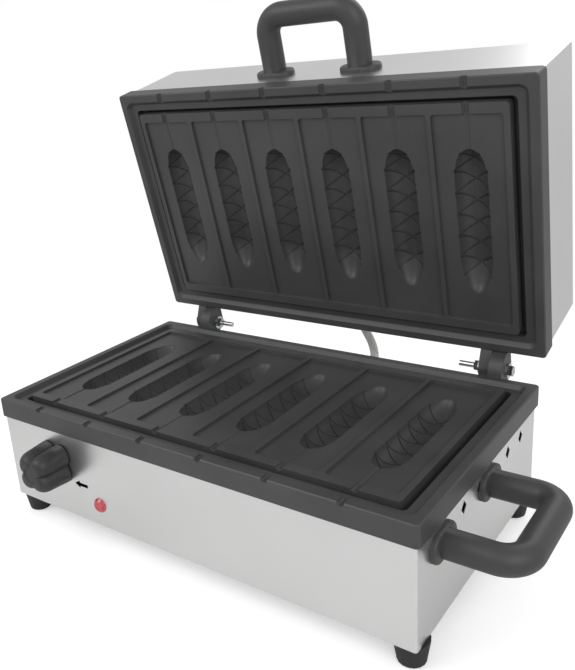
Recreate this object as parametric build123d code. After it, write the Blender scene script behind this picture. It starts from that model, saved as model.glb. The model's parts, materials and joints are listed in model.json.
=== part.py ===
from build123d import *
import os
from math import acos, atan2, cos, degrees, hypot, pi, radians, sin, sqrt

# Electric cooker for rolled crepes on sticks, standing with its lid open.
# Millimetres, +Z up, front towards -Y, origin on the table under the middle of the base.

# Overall form
PLATE_WIDTH = 480
PLATE_DEPTH = 280
FOOT_HEIGHT = 22
CASING_HEIGHT = 94.5
LID_COVER_HEIGHT = 84
OPEN_ANGLE = 77.16
PARTING_GAP = 0.6

# Cast plates
RIM_FACE = 20
PLATE_CORNER = 4
RIM_EDGE = 1
LAND_WIDTH = 8.75
SLOPE_RUN = 3.75
LEDGE_DROP = 4.5
LEDGE_WIDTH = 7
LAND_CORNER = 9
TRENCH_CORNER = 5
TRENCH_DEPTH = 14
PLATFORM_CORNER = 4
CORE_BOTTOM = 22
CAVITY_COUNT = 6
POCKET_WIDTH = 66
POCKET_LENGTH = 214
POCKET_DEPTH = 2.5
POCKET_CORNER = 2
RIB_WIDTH = 4.5
BORDER_SIDE = 5.75
BORDER_END = 10
CAVITY_WIDTH = 30
CAVITY_LENGTH = 147
CAVITY_DEPTH = 13
CAVITY_SIDES = 12
CAVITY_FRONT_STAGES = ((16, 3.2), (7, 4.5), (3, 4.5))
CAVITY_REAR_STAGES = ((22, 6.5), (6, 4.5))
STICK_RADIUS = 3.2
STICK_SIDES = 8
RELIEF_WIDTH = 34
RELIEF_LENGTH = 200
RELIEF_DEPTH = 14
END_RELIEF_WIDTH = 16
END_RELIEF_WALL = 4
FLANGE_SCREW_SPREAD = 160

# Sheet metal
OVERHANG_SIDE = 3
OVERHANG_END = 2
BASE_SHEET = 1
LID_SHEET = 1.5
CASING_CORNER = 2.5
TOP_FLANGE = 12
BOTTOM_FLANGE = 28
COVER_SHEET = 1
COVER_INSET = 4
VENT_COUNT = 5
VENT_PITCH = 35.2
VENT_WIDTH = 11
VENT_HEIGHT = 13
VENT_FIRST_Y = -46.5
VENT_DROP = 36
COVER_SLOT_COUNT = 5
COVER_SLOT_PITCH = 24
COVER_SLOT_LENGTH = 60
COVER_SLOT_WIDTH = 6
COVER_SCREW_SPREAD = 130

# Hinges
HINGE_SETBACK = 21
HINGE_SPLIT = 187.5
EAR_GAP = 1
LID_EAR_WIDTH = 12
BASE_EAR_WIDTH = 14
EAR_RADIUS = 11
EAR_STOP_RADIUS = 20.5
EAR_CORNER = 4
EAR_ROOT_HEIGHT = 18
EAR_ROOT_GAP = 0.6
BOLT_RADIUS = 3
BOLT_LENGTH = 52
BOLT_HEAD = 4
HEX_ACROSS = 10
NUT_HEIGHT = 5
WASHER_RADIUS = 8
WASHER_SHEET = 1.6
WASHER_SIDES = 16
RUNNING_FIT = 0.05
NUT_GAP = 0.2

# Handles
HANDLE_RADIUS = 12.5
HANDLE_SIDES = 12
HANDLE_SPAN = 102
HANDLE_REACH = 61.5
HANDLE_BEND = 20
HANDLE_FOOT_LENGTH = 44
HANDLE_FOOT_WIDTH = 26
HANDLE_FOOT_HEIGHT = 5
HANDLE_FOOT_EDGE = 1.5
SIDE_HANDLE_Y = -43
SIDE_HANDLE_DROP = 40
LID_HANDLE_DROP = 54
HANDLE_SCREW_LENGTH = 20

# Thermostat, knob and lamp
KNOB_X = -161
KNOB_DROP = 55.5
KNOB_RADIUS = 25.5
KNOB_WAIST = 20.5
KNOB_LOBE_RADIUS = 12
KNOB_LOBES = 4
KNOB_HEIGHT = 35
KNOB_GAP = 1
KNOB_DRAFT = 4.5
KNOB_EDGE = 1.5
KNOB_HOLLOW_RADIUS = 16
KNOB_HOLLOW_DEPTH = 6
KNOB_BADGE_RADIUS = 12
KNOB_BADGE_DEPTH = 0.6
SHAFT_RADIUS = 3
SHAFT_IN_KNOB = 26
SHAFT_IN_BODY = 12
THERMOSTAT_WIDTH = 34
THERMOSTAT_DEPTH = 25
THERMOSTAT_SCREW_LENGTH = 8
SHAFT_HOLE_RADIUS = 4
CAPILLARY_RADIUS = 1.2
CAPILLARY_BEND = 6
CAPILLARY_CLEAR = 6
BULB_RADIUS = 3
BULB_LENGTH = 90
LAMP_X = -103
LAMP_DROP = 90.5
LAMP_RADIUS = 7.75
LAMP_STEM_RADIUS = 5.5
LAMP_LENGTH = 26
LAMP_DOME = 3
LAMP_EDGE = 2
LAMP_COLLAR = 3

# Heating
ELEMENT_RADIUS = 4.25
ELEMENT_PASSES = 4
ELEMENT_PITCH = 53.5
ELEMENT_LENGTH = 380
ELEMENT_TAIL = 15
ELEMENT_SIDES = 8
ELEMENT_BEND_STEPS = 4
PIN_RADIUS = 2
PIN_LENGTH = 14
CLAMP_WIDTH = 18
CLAMP_SHEET = 3
CLAMP_LENGTH = 190
STUD_RADIUS = 3
STUD_BITE = 5
STUD_SPARE = 3
SHIELD_WIDTH = 430
SHIELD_DEPTH = 208
SHIELD_SHEET = 0.8
INSULATION_THICKNESS = 55
SOFT_GAP = 0.3

# Feet, wiring and screws
FOOT_X = 225
FOOT_Y = 121
FOOT_TOP_RADIUS = 15
FOOT_BOTTOM_RADIUS = 11.5
FOOT_EDGE = 1.5
FOOT_SIDES = 16
FOOT_BORE_RADIUS = 5.5
FOOT_BORE_DEPTH = 12
GLAND_X = -150
GLAND_Z = 50
GLAND_RADIUS = 10
GLAND_BORE = 4
GLAND_STEM_RADIUS = 8
GLAND_STEM = 14
GLAND_COLLAR = 6
GLAND_TAPER = 8
BASE_LEAD_X = 38
LID_LEAD_X = 8
LEAD_RADIUS = 5
LEAD_SIDES = 12
LEAD_BASE_DROP = 40.5
LEAD_LID_DROP = 45
LEAD_INSIDE = 8
LEAD_STRAIGHT = 10
LEAD_BEND = 22
LEAD_CORNER_X = 29
LEAD_CORNER_Y = 219
LEAD_CORNER_RISE = 6
GROMMET_RADIUS = 9
GROMMET_LIP = 2.5
BLOCK_X = 90
BLOCK_Y = 85
BLOCK_SIZE = (46, 22, 16)
BLOCK_WELL = 6
SCREW_RADIUS = 2
SCREW_HEAD_ACROSS = 7
SCREW_HEAD = 2.4
PLATE_SCREW_BITE = 10
SCREW_END = 3
CUTTER = 6

# Heights and places that follow from the sizes above
RIM_TOP = FOOT_HEIGHT + COVER_SHEET + CASING_HEIGHT + RIM_FACE
CASING_FOOT = FOOT_HEIGHT + COVER_SHEET - RIM_TOP
CASING_WIDTH = PLATE_WIDTH - 2 * OVERHANG_SIDE
CASING_DEPTH = PLATE_DEPTH - 2 * OVERHANG_END
FRONT_Y = -CASING_DEPTH / 2
REAR_Y = CASING_DEPTH / 2
SIDE_X = CASING_WIDTH / 2
CAVITY_PITCH = POCKET_WIDTH + RIB_WIDTH
CAVITY_FIRST_X = -CAVITY_PITCH * (CAVITY_COUNT - 1) / 2
PLATFORM_WIDTH = CAVITY_COUNT * CAVITY_PITCH - RIB_WIDTH + 2 * BORDER_SIDE
PLATFORM_DEPTH = POCKET_LENGTH + 2 * BORDER_END
CAVITY_AXIS = ((CAVITY_WIDTH / 2) ** 2 - CAVITY_DEPTH**2) / (2 * CAVITY_DEPTH)
CAVITY_RADIUS = CAVITY_DEPTH + CAVITY_AXIS
HINGE_Y = PLATE_DEPTH / 2 + HINGE_SETBACK
HINGE_Z = RIM_TOP + PARTING_GAP / 2
HINGE = Pos(0, HINGE_Y, HINGE_Z)
LID_SWING = HINGE * Rot(-OPEN_ANGLE, 0, 0) * HINGE.inverse()
CLAMP_TOP = CORE_BOTTOM + 2 * ELEMENT_RADIUS
SHIELD_TOP = CLAMP_TOP + CLAMP_SHEET + NUT_HEIGHT
STUD_END = SHIELD_TOP + SHIELD_SHEET + NUT_HEIGHT + STUD_SPARE
END_RELIEF_X = PLATFORM_WIDTH / 2 - END_RELIEF_WALL - END_RELIEF_WIDTH / 2
SIDE_UP = Plane(origin=(0, 0, 0), x_dir=(0, 1, 0), z_dir=(1, 0, 0))


def write(name, *shapes):
    """Write one sub-part, which may hold several loose solids."""
    solids = [solid for shape in shapes for solid in shape.solids()]
    export_step(solids[0] if len(solids) == 1 else Compound(solids), f"parts/{name}.step")


def to_base(shape):
    """Put something drawn with its rim top at z = 0 into the base."""
    return Pos(0, 0, RIM_TOP) * shape


def closed_lid(shape):
    """Put something drawn with its rim top at z = 0 into the shut lid, face down."""
    return Pos(0, 0, RIM_TOP + PARTING_GAP) * mirror(shape, about=Plane.XY)


def to_lid(shape):
    """Put something drawn with its rim top at z = 0 into the lid as it stands open."""
    return LID_SWING * closed_lid(shape)


def slab(width, depth, low, high, corner=0.0):
    """Upright block between two heights, with rounded vertical corners."""
    outline = RectangleRounded(width, depth, corner) if corner > 0 else Rectangle(width, depth)
    return Pos(0, 0, low) * extrude(outline, high - low)


def rod(radius, low, high):
    """Upright round bar between two heights."""
    return Pos(0, 0, (low + high) / 2) * Cylinder(radius, high - low)


def hexagon(across, low, high):
    """Upright hexagon between two heights, measured across its flats."""
    return Pos(0, 0, low) * extrude(RegularPolygon(across / 2, 6, major_radius=False), high - low)


def hidden_hole(radius, low, high):
    """Six-sided hole for a hidden shank of a given radius, with a running fit."""
    return hexagon(2 * (radius + RUNNING_FIT), low, high)


def nut(low):
    """Hexagon nut on an upright axis, clear of the shank that passes through it."""
    return hexagon(HEX_ACROSS, low, low + NUT_HEIGHT) - hidden_hole(BOLT_RADIUS, low, low + NUT_HEIGHT)


def washer(low):
    """Flat washer on an upright axis."""
    ring = Pos(0, 0, low) * extrude(ring_section(WASHER_RADIUS, WASHER_SIDES), WASHER_SHEET)
    return ring - hidden_hole(BOLT_RADIUS, low, low + WASHER_SHEET)


def small_screw(length):
    """Hidden hexagon screw with its head above z = 0 and its plain shank going down."""
    return hexagon(SCREW_HEAD_ACROSS, 0, SCREW_HEAD) + hexagon(2 * SCREW_RADIUS, -length, 0)


def ring_section(radius, sides):
    """Regular outline with a flat side square to its local x, drawn round a circle."""
    return Rot(0, 0, 180 / sides) * RegularPolygon(radius, sides, major_radius=False)


def bent_bar(path, section, across):
    """Bar of one section along lines and arcs that meet smoothly, with its local x set at the start."""
    bar = Part()
    for edge in path.edges():
        start = Plane(edge @ 0, x_dir=across, z_dir=edge % 0) * section
        if edge.geom_type == GeomType.LINE:
            bar += extrude(start, edge.length)
        else:
            axis = Axis(edge.arc_center, (edge % 0).cross(edge % 0.5))
            angle = degrees(edge.length / edge.radius)
            bar += revolve(start, axis, angle)
            across = across.rotate(axis, angle)
    return bar


def cavity_end(stages, radius):
    """One tapering end of a cavity, built outwards along z in stages of length and lost radius."""
    end = Part()
    along = 0.0
    for length, loss in stages:
        face = Pos(0, 0, along) * ring_section(radius, CAVITY_SIDES)
        end += extrude(face, length, taper=degrees(atan2(loss, length)))
        along += length
        radius -= loss
    return end


def cavity_body():
    """Spindle along Y whose lower part is one cavity."""
    front = -CAVITY_LENGTH / 2 + sum(length for length, loss in CAVITY_FRONT_STAGES)
    rear = CAVITY_LENGTH / 2 - sum(length for length, loss in CAVITY_REAR_STAGES)
    middle = extrude(ring_section(CAVITY_RADIUS, CAVITY_SIDES), rear - front)
    body = Pos(0, front, 0) * Rot(-90, 0, 0) * middle
    body += Pos(0, front, 0) * Rot(90, 0, 0) * cavity_end(CAVITY_FRONT_STAGES, CAVITY_RADIUS)
    body += Pos(0, rear, 0) * Rot(-90, 0, 0) * cavity_end(CAVITY_REAR_STAGES, CAVITY_RADIUS)
    return body


def pocket_outline():
    """Long pocket in plan, with its corners cut off."""
    plain = Rectangle(POCKET_WIDTH, POCKET_LENGTH)
    return chamfer(plain.vertices(), POCKET_CORNER)


def cavity_cutter():
    """Everything that one cavity takes out of its plate."""
    hollow = Pos(0, 0, CAVITY_AXIS - POCKET_DEPTH) * cavity_body()
    pocket = Pos(0, 0, -POCKET_DEPTH) * extrude(pocket_outline(), POCKET_DEPTH + 1)
    stick = Rot(90, 0, 0) * extrude(ring_section(STICK_RADIUS, STICK_SIDES), PLATE_DEPTH / 2)
    return pocket + hollow + Pos(0, 1 - CAVITY_LENGTH / 2, 0) * stick


def cavity_places():
    """The middle of each cavity."""
    return [Pos(CAVITY_FIRST_X + number * CAVITY_PITCH, 0, 0) for number in range(CAVITY_COUNT)]


def rim_trench():
    """The sloped step and the drip trench between the rim and the raised platform."""
    slope = degrees(atan2(SLOPE_RUN, LEDGE_DROP))
    land_x = PLATE_WIDTH - 2 * LAND_WIDTH
    land_y = PLATE_DEPTH - 2 * LAND_WIDTH
    step = extrude(RectangleRounded(land_x, land_y, LAND_CORNER), LEDGE_DROP, dir=(0, 0, -1), taper=slope)
    inset = 2 * (LAND_WIDTH + SLOPE_RUN + LEDGE_WIDTH)
    trench = slab(PLATE_WIDTH - inset, PLATE_DEPTH - inset, -TRENCH_DEPTH, 0, TRENCH_CORNER)
    platform = slab(PLATFORM_WIDTH, PLATFORM_DEPTH, -TRENCH_DEPTH, 0, PLATFORM_CORNER)
    return step + trench - platform


def clamp_places():
    """The two clamp bars lie under the second cavity from each end."""
    return [Pos(side * (-CAVITY_FIRST_X - CAVITY_PITCH), 0, 0) for side in (-1, 1)]


def stud_places():
    """Two studs to each clamp bar, between the passes of the element."""
    return [bar * Pos(0, side * ELEMENT_PITCH, 0) for bar in clamp_places() for side in (-1, 1)]


def flange_screw_places():
    """Screws that hold a plate to its casing, in the middle of the flange."""
    y_line = REAR_Y - TOP_FLANGE / 2
    return [Pos(x, y, 0) for x in (-FLANGE_SCREW_SPREAD, FLANGE_SCREW_SPREAD) for y in (-y_line, y_line)]


def cast_plate():
    """One cooking plate without its hinge ears, face up, with its rim top at z = 0."""
    plate = slab(PLATE_WIDTH, PLATE_DEPTH, -RIM_FACE, 0, PLATE_CORNER)
    plate = chamfer(plate.edges().group_by(Axis.Z)[-1], RIM_EDGE)
    plate += slab(PLATFORM_WIDTH, PLATFORM_DEPTH, -CORE_BOTTOM, -RIM_FACE)
    plate -= rim_trench()
    cutter = cavity_cutter()
    plate -= [place * cutter for place in cavity_places()]
    relief = slab(RELIEF_WIDTH, RELIEF_LENGTH, -CORE_BOTTOM, RELIEF_DEPTH - CORE_BOTTOM)
    plate -= [Pos(CAVITY_PITCH / 2, 0, 0) * place * relief for place in cavity_places()[:-1]]
    end_relief = slab(END_RELIEF_WIDTH, RELIEF_LENGTH, -CORE_BOTTOM, RELIEF_DEPTH - CORE_BOTTOM)
    plate -= [Pos(x, 0, 0) * end_relief for x in (-END_RELIEF_X, END_RELIEF_X)]
    stud_hole = hidden_hole(STUD_RADIUS, -CORE_BOTTOM, STUD_BITE - CORE_BOTTOM)
    plate -= [place * stud_hole for place in stud_places()]
    screw_hole = hidden_hole(SCREW_RADIUS, -RIM_FACE, PLATE_SCREW_BITE - RIM_FACE)
    plate -= [place * screw_hole for place in flange_screw_places()]
    return plate


def round_point(radius, angle):
    """Point on a circle round the hinge axis, at an angle in degrees."""
    return (radius * cos(radians(angle)), radius * sin(radians(angle)))


def tangent_angle(point, radius, side):
    """Angle at which a line from a point touches a circle round the hinge axis."""
    away = hypot(*point)
    return degrees(atan2(point[1], point[0])) + side * degrees(acos(radius / away))


def ear_solid(outline, left, right):
    """Ear of a given outline round the hinge axis, between two places along X."""
    ear = Plane.YZ * extrude(outline, right - left)
    bore = Rot(0, 90, 0) * rod(BOLT_RADIUS + RUNNING_FIT, 0, right - left)
    return Pos(left, HINGE_Y, HINGE_Z) * (ear - bore)


def base_ear(left, right):
    """Ear on the lower plate, whose flat top stops the open lid."""
    open_up = 180 - OPEN_ANGLE
    up = round_point(1, open_up)
    back = round_point(1, open_up - 90)

    def spot(along, above):
        return (along * back[0] + above * up[0], along * back[1] + above * up[1])

    low = (-HINGE_SETBACK, -EAR_ROOT_HEIGHT)
    shoulder = (-sqrt(EAR_STOP_RADIUS**2 - EAR_ROOT_GAP**2), -EAR_ROOT_GAP)
    middle = round_point(EAR_STOP_RADIUS, (180 + open_up) / 2)
    touch = tangent_angle(low, EAR_RADIUS, 1)
    under = round_point(EAR_RADIUS, (touch + open_up - 90) / 2)
    corner_turn = EAR_CORNER * (1 - sqrt(0.5))
    outline = (
        Line((-HINGE_SETBACK, -EAR_ROOT_GAP), shoulder)
        + ThreePointArc(shoulder, middle, spot(0, EAR_STOP_RADIUS))
        + Line(spot(0, EAR_STOP_RADIUS), spot(EAR_RADIUS - EAR_CORNER, EAR_STOP_RADIUS))
        + ThreePointArc(
            spot(EAR_RADIUS - EAR_CORNER, EAR_STOP_RADIUS),
            spot(EAR_RADIUS - corner_turn, EAR_STOP_RADIUS - corner_turn),
            spot(EAR_RADIUS, EAR_STOP_RADIUS - EAR_CORNER),
        )
        + Line(spot(EAR_RADIUS, EAR_STOP_RADIUS - EAR_CORNER), spot(EAR_RADIUS, 0))
        + ThreePointArc(spot(EAR_RADIUS, 0), under, round_point(EAR_RADIUS, touch))
        + Line(round_point(EAR_RADIUS, touch), low)
        + Line(low, (-HINGE_SETBACK, -EAR_ROOT_GAP))
    )
    return ear_solid(make_face(outline), left, right)


def lid_ear(left, right):
    """Ear on the upper plate, drawn with the lid shut."""
    low = (-HINGE_SETBACK, EAR_ROOT_GAP)
    high = (-HINGE_SETBACK, EAR_ROOT_HEIGHT)
    touch_low = tangent_angle(low, EAR_RADIUS, 1)
    touch_high = tangent_angle(high, EAR_RADIUS, -1)
    outline = (
        Line(low, round_point(EAR_RADIUS, touch_low))
        + ThreePointArc(
            round_point(EAR_RADIUS, touch_low),
            round_point(EAR_RADIUS, (touch_low - 360 + touch_high) / 2),
            round_point(EAR_RADIUS, touch_high),
        )
        + Line(round_point(EAR_RADIUS, touch_high), high)
        + Line(high, low)
    )
    return ear_solid(make_face(outline), left, right)


def hinge_splits():
    """The gap between the two ears of each hinge, along X."""
    return (-HINGE_SPLIT, HINGE_SPLIT)


def lower_plate():
    """Lower cooking plate with its two hinge ears."""
    plate = to_base(cast_plate())
    for split in hinge_splits():
        left = split + EAR_GAP / 2
        plate += base_ear(left, left + BASE_EAR_WIDTH)
    return plate


def upper_plate():
    """Upper cooking plate with its two hinge ears, standing open."""
    plate = closed_lid(cast_plate())
    for split in hinge_splits():
        right = split - EAR_GAP / 2
        plate += lid_ear(right - LID_EAR_WIDTH, right)
    return LID_SWING * plate


def hinge_stack(place, direction, first_width, second_width):
    """Bolt, washers and nut of one hinge, from the head towards the nut."""
    grip = first_width + EAR_GAP + second_width
    bolt = rod(BOLT_RADIUS, -WASHER_SHEET, BOLT_LENGTH - WASHER_SHEET)
    bolt += hexagon(HEX_ACROSS, -WASHER_SHEET - BOLT_HEAD, -WASHER_SHEET)
    washers = washer(-WASHER_SHEET) + washer(grip + NUT_GAP)
    nut_solid = nut(grip + NUT_GAP + WASHER_SHEET)
    turned = Pos(place, HINGE_Y, HINGE_Z) * Rot(0, 90 * direction, 0)
    return turned * bolt, turned * washers, turned * nut_solid


def hinge_hardware():
    """Both hinges' bolts, washers and nuts, with the heads outside."""
    right_end = HINGE_SPLIT + EAR_GAP / 2 + BASE_EAR_WIDTH
    left_end = -HINGE_SPLIT - EAR_GAP / 2 - LID_EAR_WIDTH
    right = hinge_stack(right_end, -1, BASE_EAR_WIDTH, LID_EAR_WIDTH)
    left = hinge_stack(left_end, 1, LID_EAR_WIDTH, BASE_EAR_WIDTH)
    return right, left


def sheet_tray(high, low, sheet):
    """Four thin walls with a flange turned in at the top, drawn below the plate's rim."""
    walls = slab(CASING_WIDTH, CASING_DEPTH, low, high, CASING_CORNER)
    walls -= slab(CASING_WIDTH - 2 * sheet, CASING_DEPTH - 2 * sheet, low, high, CASING_CORNER - sheet)
    flange = slab(CASING_WIDTH - sheet, CASING_DEPTH - sheet, high - sheet, high, CASING_CORNER - sheet / 2)
    inside = 2 * TOP_FLANGE
    flange -= slab(CASING_WIDTH - inside, CASING_DEPTH - inside, high - sheet, high)
    screw_hole = hidden_hole(SCREW_RADIUS, high - sheet, high)
    return walls + flange - [place * screw_hole for place in flange_screw_places()]


def vents():
    """Row of diamond holes through both side walls."""
    half_width = VENT_WIDTH / 2
    half_height = VENT_HEIGHT / 2
    diamond = Polygon((-half_width, 0), (0, -half_height), (half_width, 0), (0, half_height), align=None)
    through = SIDE_UP * (Pos(0, 0, -CASING_WIDTH) * extrude(diamond, 2 * CASING_WIDTH))
    return [Pos(0, VENT_FIRST_Y + number * VENT_PITCH, -VENT_DROP) * through for number in range(VENT_COUNT)]


def handle_holes():
    """Where the two screws of a handle go, along the handle from its middle."""
    return (-HANDLE_SPAN / 2, HANDLE_SPAN / 2)


def side_handle_place():
    """Middle of the side handle on the right wall, with its reach along z."""
    return Pos(SIDE_X, SIDE_HANDLE_Y, -SIDE_HANDLE_DROP) * SIDE_UP.location


def lid_handle_place():
    """Middle of the lid handle on the front wall of the shut lid, with its reach along z."""
    return Pos(0, FRONT_Y, -LID_HANDLE_DROP) * Rot(90, 0, 0)


def screw_holes(places):
    """Short cutters for hidden screws through a sheet."""
    return [place * hidden_hole(SCREW_RADIUS, -CUTTER, CUTTER) for place in places]


def along(place, spots):
    """Places at spots along the local x of another place."""
    return [place * Pos(spot, 0, 0) for spot in spots]


def front_place(x, drop):
    """Place on the front wall of the base, with z pointing out to the user."""
    return Pos(x, FRONT_Y, -drop) * Rot(90, 0, 0)


def rear_place(x, drop):
    """Place on a rear wall, with z pointing away from the cooker."""
    return Pos(x, REAR_Y, -drop) * Rot(-90, 0, 0)


def foot_places():
    """Middle of each foot."""
    return [Pos(x, y, 0) for x in (-FOOT_X, FOOT_X) for y in (-FOOT_Y, FOOT_Y)]


def cover_screw_places():
    """Screws along the bottom flange, clear of the feet."""
    y_line = REAR_Y - BOTTOM_FLANGE / 2
    spread = COVER_SCREW_SPREAD
    return [Pos(x, y, CASING_FOOT) for x in (-spread, spread) for y in (-y_line, y_line)]


def lead_hole():
    """Cutter for the neck of a grommet through a wall."""
    return extrude(ring_section(LEAD_RADIUS + GROMMET_LIP / 2 + SOFT_GAP, LEAD_SIDES), CUTTER, both=True)


def base_casing():
    """Bent steel casing of the base, with its vents and holes."""
    casing = sheet_tray(-RIM_FACE, CASING_FOOT, BASE_SHEET)
    low = CASING_FOOT
    flange = slab(CASING_WIDTH - BASE_SHEET, CASING_DEPTH - BASE_SHEET, low, low + BASE_SHEET, CASING_CORNER)
    inside = 2 * BOTTOM_FLANGE
    flange -= slab(CASING_WIDTH - inside, CASING_DEPTH - inside, low, low + BASE_SHEET)
    casing += flange
    casing -= vents()
    knob_place = front_place(KNOB_X, KNOB_DROP)
    casing -= screw_holes(along(side_handle_place(), handle_holes()))
    casing -= screw_holes(along(knob_place, thermostat_screw_spots()))
    casing -= knob_place * rod(SHAFT_HOLE_RADIUS, -CUTTER, CUTTER)
    casing -= front_place(LAMP_X, LAMP_DROP) * hidden_hole(LAMP_STEM_RADIUS, -CUTTER, CUTTER)
    casing -= rear_place(GLAND_X, RIM_TOP - GLAND_Z) * hidden_hole(GLAND_STEM_RADIUS, -CUTTER, CUTTER)
    casing -= rear_place(BASE_LEAD_X, LEAD_BASE_DROP) * lead_hole()
    casing -= screw_holes(cover_screw_places())
    casing -= screw_holes([Pos(0, 0, low) * place for place in foot_places()])
    return to_base(casing)


def bottom_cover():
    """Sheet that closes the base from below, with cooling slots."""
    width = CASING_WIDTH - 2 * COVER_INSET
    depth = CASING_DEPTH - 2 * COVER_INSET
    cover = slab(width, depth, CASING_FOOT - COVER_SHEET, CASING_FOOT)
    slot = slab(COVER_SLOT_LENGTH, COVER_SLOT_WIDTH, CASING_FOOT - CUTTER, CASING_FOOT + CUTTER)
    first = -COVER_SLOT_PITCH * (COVER_SLOT_COUNT - 1) / 2
    for side in (-1, 1):
        for number in range(COVER_SLOT_COUNT):
            cover -= Pos(side * CAVITY_PITCH, first + number * COVER_SLOT_PITCH, 0) * slot
    cover -= screw_holes(cover_screw_places())
    cover -= screw_holes([Pos(0, 0, CASING_FOOT) * place for place in foot_places()])
    return to_base(cover)


def lid_cover():
    """Deep steel cover on the back of the upper plate, standing open."""
    back = -RIM_FACE - LID_COVER_HEIGHT
    cover = sheet_tray(-RIM_FACE, back, LID_SHEET)
    cover += slab(CASING_WIDTH - LID_SHEET, CASING_DEPTH - LID_SHEET, back, back + LID_SHEET, CASING_CORNER)
    cover -= screw_holes(along(lid_handle_place(), handle_holes()))
    cover -= rear_place(LID_LEAD_X, LEAD_LID_DROP) * lead_hole()
    return to_lid(cover)


def plate_screws(sheet):
    """Screws that hold a plate down on a flange of a given sheet, driven from inside."""
    seat = Pos(0, 0, -RIM_FACE - sheet) * Rot(180, 0, 0)
    return [place * seat * small_screw(PLATE_SCREW_BITE - 1) for place in flange_screw_places()]


def bend_points(x, low, high, side):
    """Corners of a half turn between two passes of the heating tube, as short straight runs."""
    radius = (high - low) / 2
    step = pi / ELEMENT_BEND_STEPS
    outer = radius / cos(step / 2)
    points = []
    for number in range(ELEMENT_BEND_STEPS):
        angle = (number + 0.5) * step
        points.append((x + side * outer * sin(angle), low + radius - outer * cos(angle)))
    return points


def element():
    """Heating tube that runs to and fro under a plate, with a pin at each end."""
    height = -CORE_BOTTOM - ELEMENT_RADIUS
    half = ELEMENT_LENGTH / 2
    start = -half - ELEMENT_TAIL
    first = -ELEMENT_PITCH * (ELEMENT_PASSES - 1) / 2
    spots = [(start, first)]
    for number in range(ELEMENT_PASSES - 1):
        side = 1 if number % 2 == 0 else -1
        low = first + number * ELEMENT_PITCH
        spots += bend_points(side * half, low, low + ELEMENT_PITCH, side)
    spots.append((start, -first))
    path = Polyline(*[(x, y, height) for x, y in spots])
    section = Plane(path @ 0, x_dir=(0, 0, 1), z_dir=path % 0) * ring_section(ELEMENT_RADIUS, ELEMENT_SIDES)
    tube = sweep(section, path, transition=Transition.RIGHT)
    pin = Rot(0, -90, 0) * hexagon(2 * PIN_RADIUS, 0, PIN_LENGTH)
    return tube + [Pos(start, side * first, height) * pin for side in (-1, 1)]


def clamp_bars():
    """Flat bars that press the heating tube against a plate."""
    bar = slab(CLAMP_WIDTH, CLAMP_LENGTH, -CLAMP_TOP - CLAMP_SHEET, -CLAMP_TOP)
    hole = hidden_hole(STUD_RADIUS, -CLAMP_TOP - CLAMP_SHEET, -CLAMP_TOP)
    bars = [place * bar for place in clamp_places()]
    return [bar - [place * hole for place in stud_places()] for bar in bars]


def studs():
    """Studs screwed into a plate from behind."""
    return [place * hexagon(2 * STUD_RADIUS, -STUD_END, STUD_BITE - CORE_BOTTOM) for place in stud_places()]


def stud_nuts():
    """Nuts above and below the heat shield on each stud."""
    upper = nut(-SHIELD_TOP)
    lower = nut(-SHIELD_TOP - SHIELD_SHEET - NUT_HEIGHT)
    return [place * piece for place in stud_places() for piece in (upper, lower)]


def heat_shield():
    """Thin sheet that turns the heat back to the plate."""
    shield = slab(SHIELD_WIDTH, SHIELD_DEPTH, -SHIELD_TOP - SHIELD_SHEET, -SHIELD_TOP)
    hole = hidden_hole(STUD_RADIUS, -SHIELD_TOP - SHIELD_SHEET, -SHIELD_TOP)
    return shield - [place * hole for place in stud_places()]


def insulation():
    """Fibre blanket between the upper heat shield and the lid cover."""
    top = -SHIELD_TOP - SHIELD_SHEET - SOFT_GAP
    blanket = slab(SHIELD_WIDTH, SHIELD_DEPTH, top - INSULATION_THICKNESS, top)
    nut_room = hexagon(2 * HEX_ACROSS, -STUD_END - SOFT_GAP, top)
    return blanket - [place * nut_room for place in stud_places()]


def handle():
    """Moulded grab handle with an oblong foot under each leg, standing on z = 0 along x."""
    half = HANDLE_SPAN / 2
    path = FilletPolyline(
        (-half, 0, 0), (-half, 0, HANDLE_REACH), (half, 0, HANDLE_REACH), (half, 0, 0), radius=HANDLE_BEND
    )
    grip = bent_bar(path, ring_section(HANDLE_RADIUS, HANDLE_SIDES), Vector(0, 1, 0))
    foot = extrude(SlotOverall(HANDLE_FOOT_LENGTH, HANDLE_FOOT_WIDTH), HANDLE_FOOT_HEIGHT)
    foot = chamfer(foot.edges().group_by(Axis.Z)[-1], HANDLE_FOOT_EDGE)
    hole = hidden_hole(SCREW_RADIUS, 0, HANDLE_SCREW_LENGTH)
    grip += [Pos(spot, 0, 0) * foot for spot in handle_holes()]
    return grip - [Pos(spot, 0, 0) * hole for spot in handle_holes()]


def handle_screws(sheet):
    """Screws from inside the wall into both legs of a handle."""
    screw = Pos(0, 0, -sheet) * Rot(180, 0, 0) * small_screw(HANDLE_SCREW_LENGTH)
    return [Pos(spot, 0, 0) * screw for spot in handle_holes()]


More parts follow.
